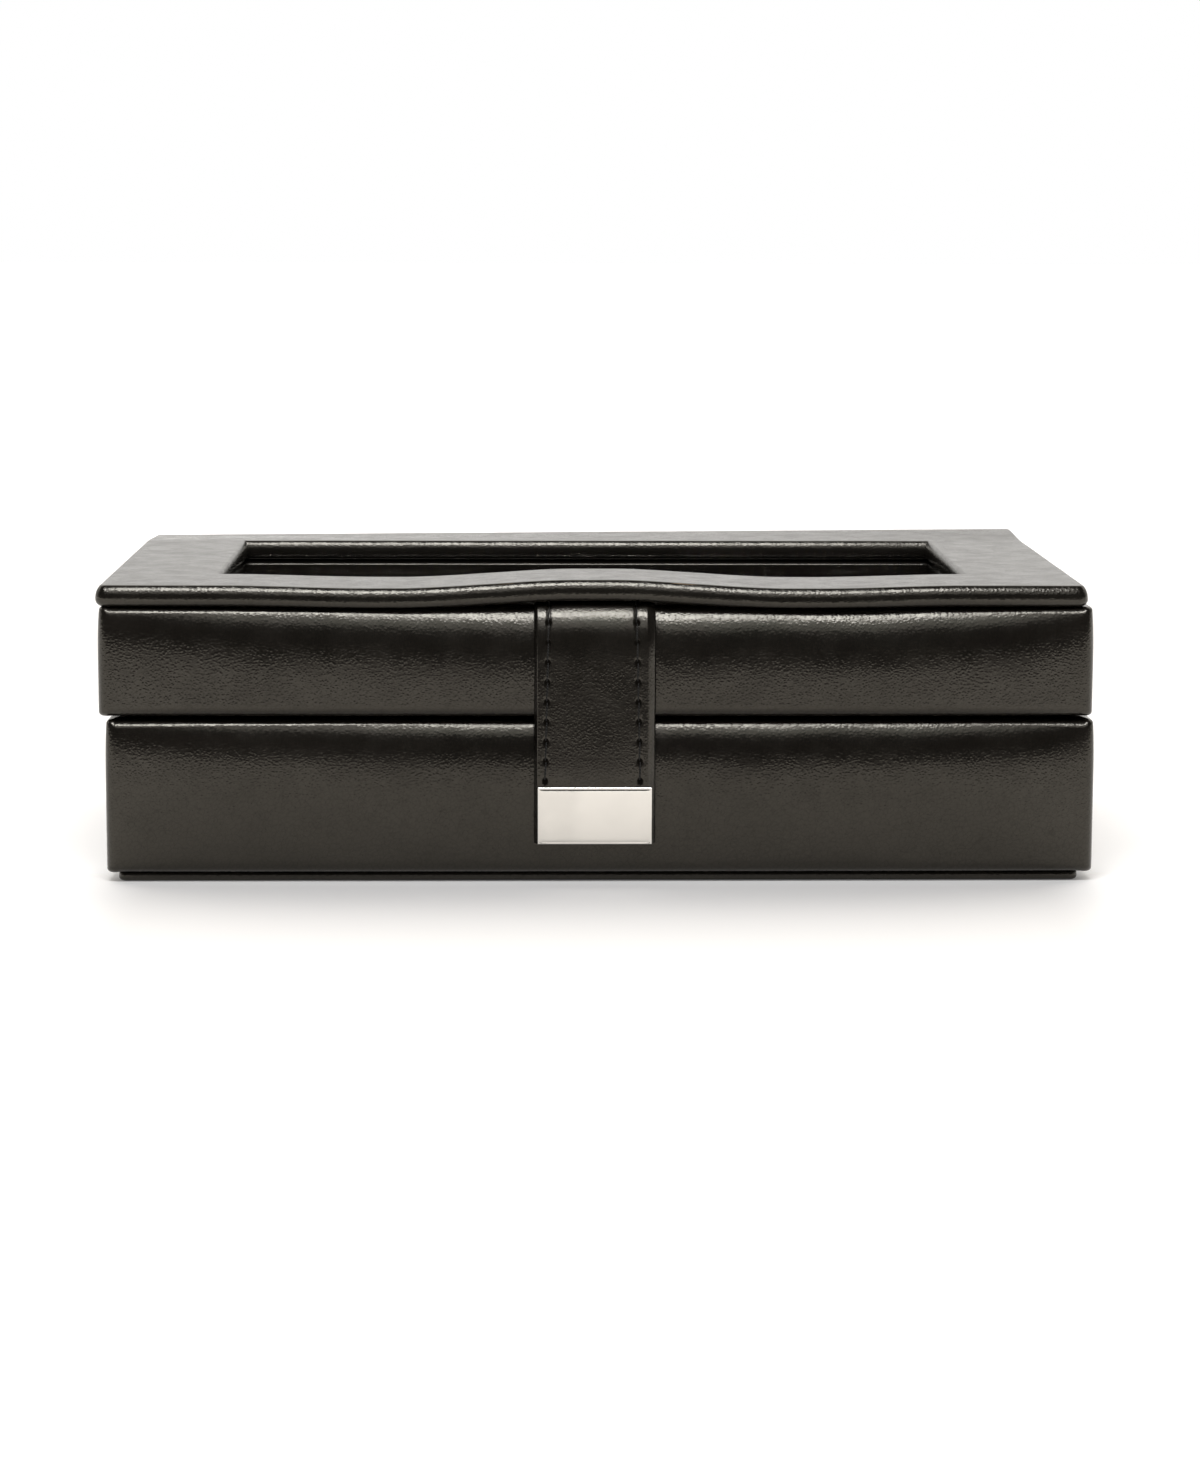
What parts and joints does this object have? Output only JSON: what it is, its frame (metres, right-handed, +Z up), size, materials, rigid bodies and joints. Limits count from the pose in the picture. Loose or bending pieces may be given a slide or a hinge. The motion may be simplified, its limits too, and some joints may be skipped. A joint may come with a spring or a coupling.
{
  "type": "cufflink box",
  "caption": "Padded black leatherette box with a deep hinged window lid, inner compartments, and a stitched closing strap that ends in a metal tip.",
  "frame": {"origin": "middle of the box on the table, under the bottom board", "axes": "+Z up, front with the strap towards -Y, +X to the right seen from the front"},
  "size_m": [0.2036, 0.1224, 0.0632],
  "materials": {
    "leatherette": "black grained leatherette, half gloss",
    "strap_leather": "black leatherette strap with turned edges",
    "thread": "black sewing thread",
    "tip_metal": "polished nickel",
    "hinge_metal": "nickel-plated steel",
    "magnet_steel": "plain magnet discs, hidden",
    "pane": "clear sheet",
    "foam": "thin foam sheet, hidden",
    "suede": "dark grey faux suede",
    "board": "fibreboard, hidden"
  },
  "bodies": {
    "base": {"base_bottom_board": "leatherette", "base_floor_board": "board", "base_front_wall": "board", "base_back_wall": "board", "base_left_wall": "board", "base_right_wall": "board", "base_padding": "foam", "base_wrap": "leatherette", "base_lining": "suede", "base_floor_pad": "suede", "divider_long_front": "suede", "divider_long_rear": "suede", "divider_cross_left": "suede", "divider_cross_middle": "suede", "divider_cross_right": "suede", "base_magnet": "magnet_steel", "hinge_left_base_leaf": "hinge_metal", "hinge_right_base_leaf": "hinge_metal", "hinge_left_pin": "hinge_metal", "hinge_right_pin": "hinge_metal", "hinge_base_screws": "hinge_metal"},
    "lid": {"lid_front_wall": "board", "lid_back_wall": "board", "lid_left_wall": "board", "lid_right_wall": "board", "lid_top_board": "board", "lid_padding": "foam", "lid_wrap": "leatherette", "cover_board": "board", "cover_wrap": "leatherette", "window_pane": "pane", "pane_frame": "suede", "lid_lining": "suede", "strap_root": "strap_leather", "hinge_left_lid_leaf": "hinge_metal", "hinge_right_lid_leaf": "hinge_metal", "hinge_lid_screws": "hinge_metal"},
    "strap": {"strap_outer": "strap_leather", "strap_lining": "strap_leather", "strap_stitching": "thread", "strap_tip": "tip_metal", "strap_magnet": "magnet_steel"}
  },
  "joints": [
    {"name": "lid_hinge", "type": "hinge", "parent": "base", "child": "lid", "pos_m": [0, 0.0595, 0.03455], "axis": [-1, 0, 0], "range_deg": [0, 100]},
    {"name": "strap_flex", "type": "hinge", "parent": "lid", "child": "strap", "pos_m": [0, -0.0594, 0.0494], "axis": [-1, 0, 0], "range_deg": [0, 110]}
  ]
}
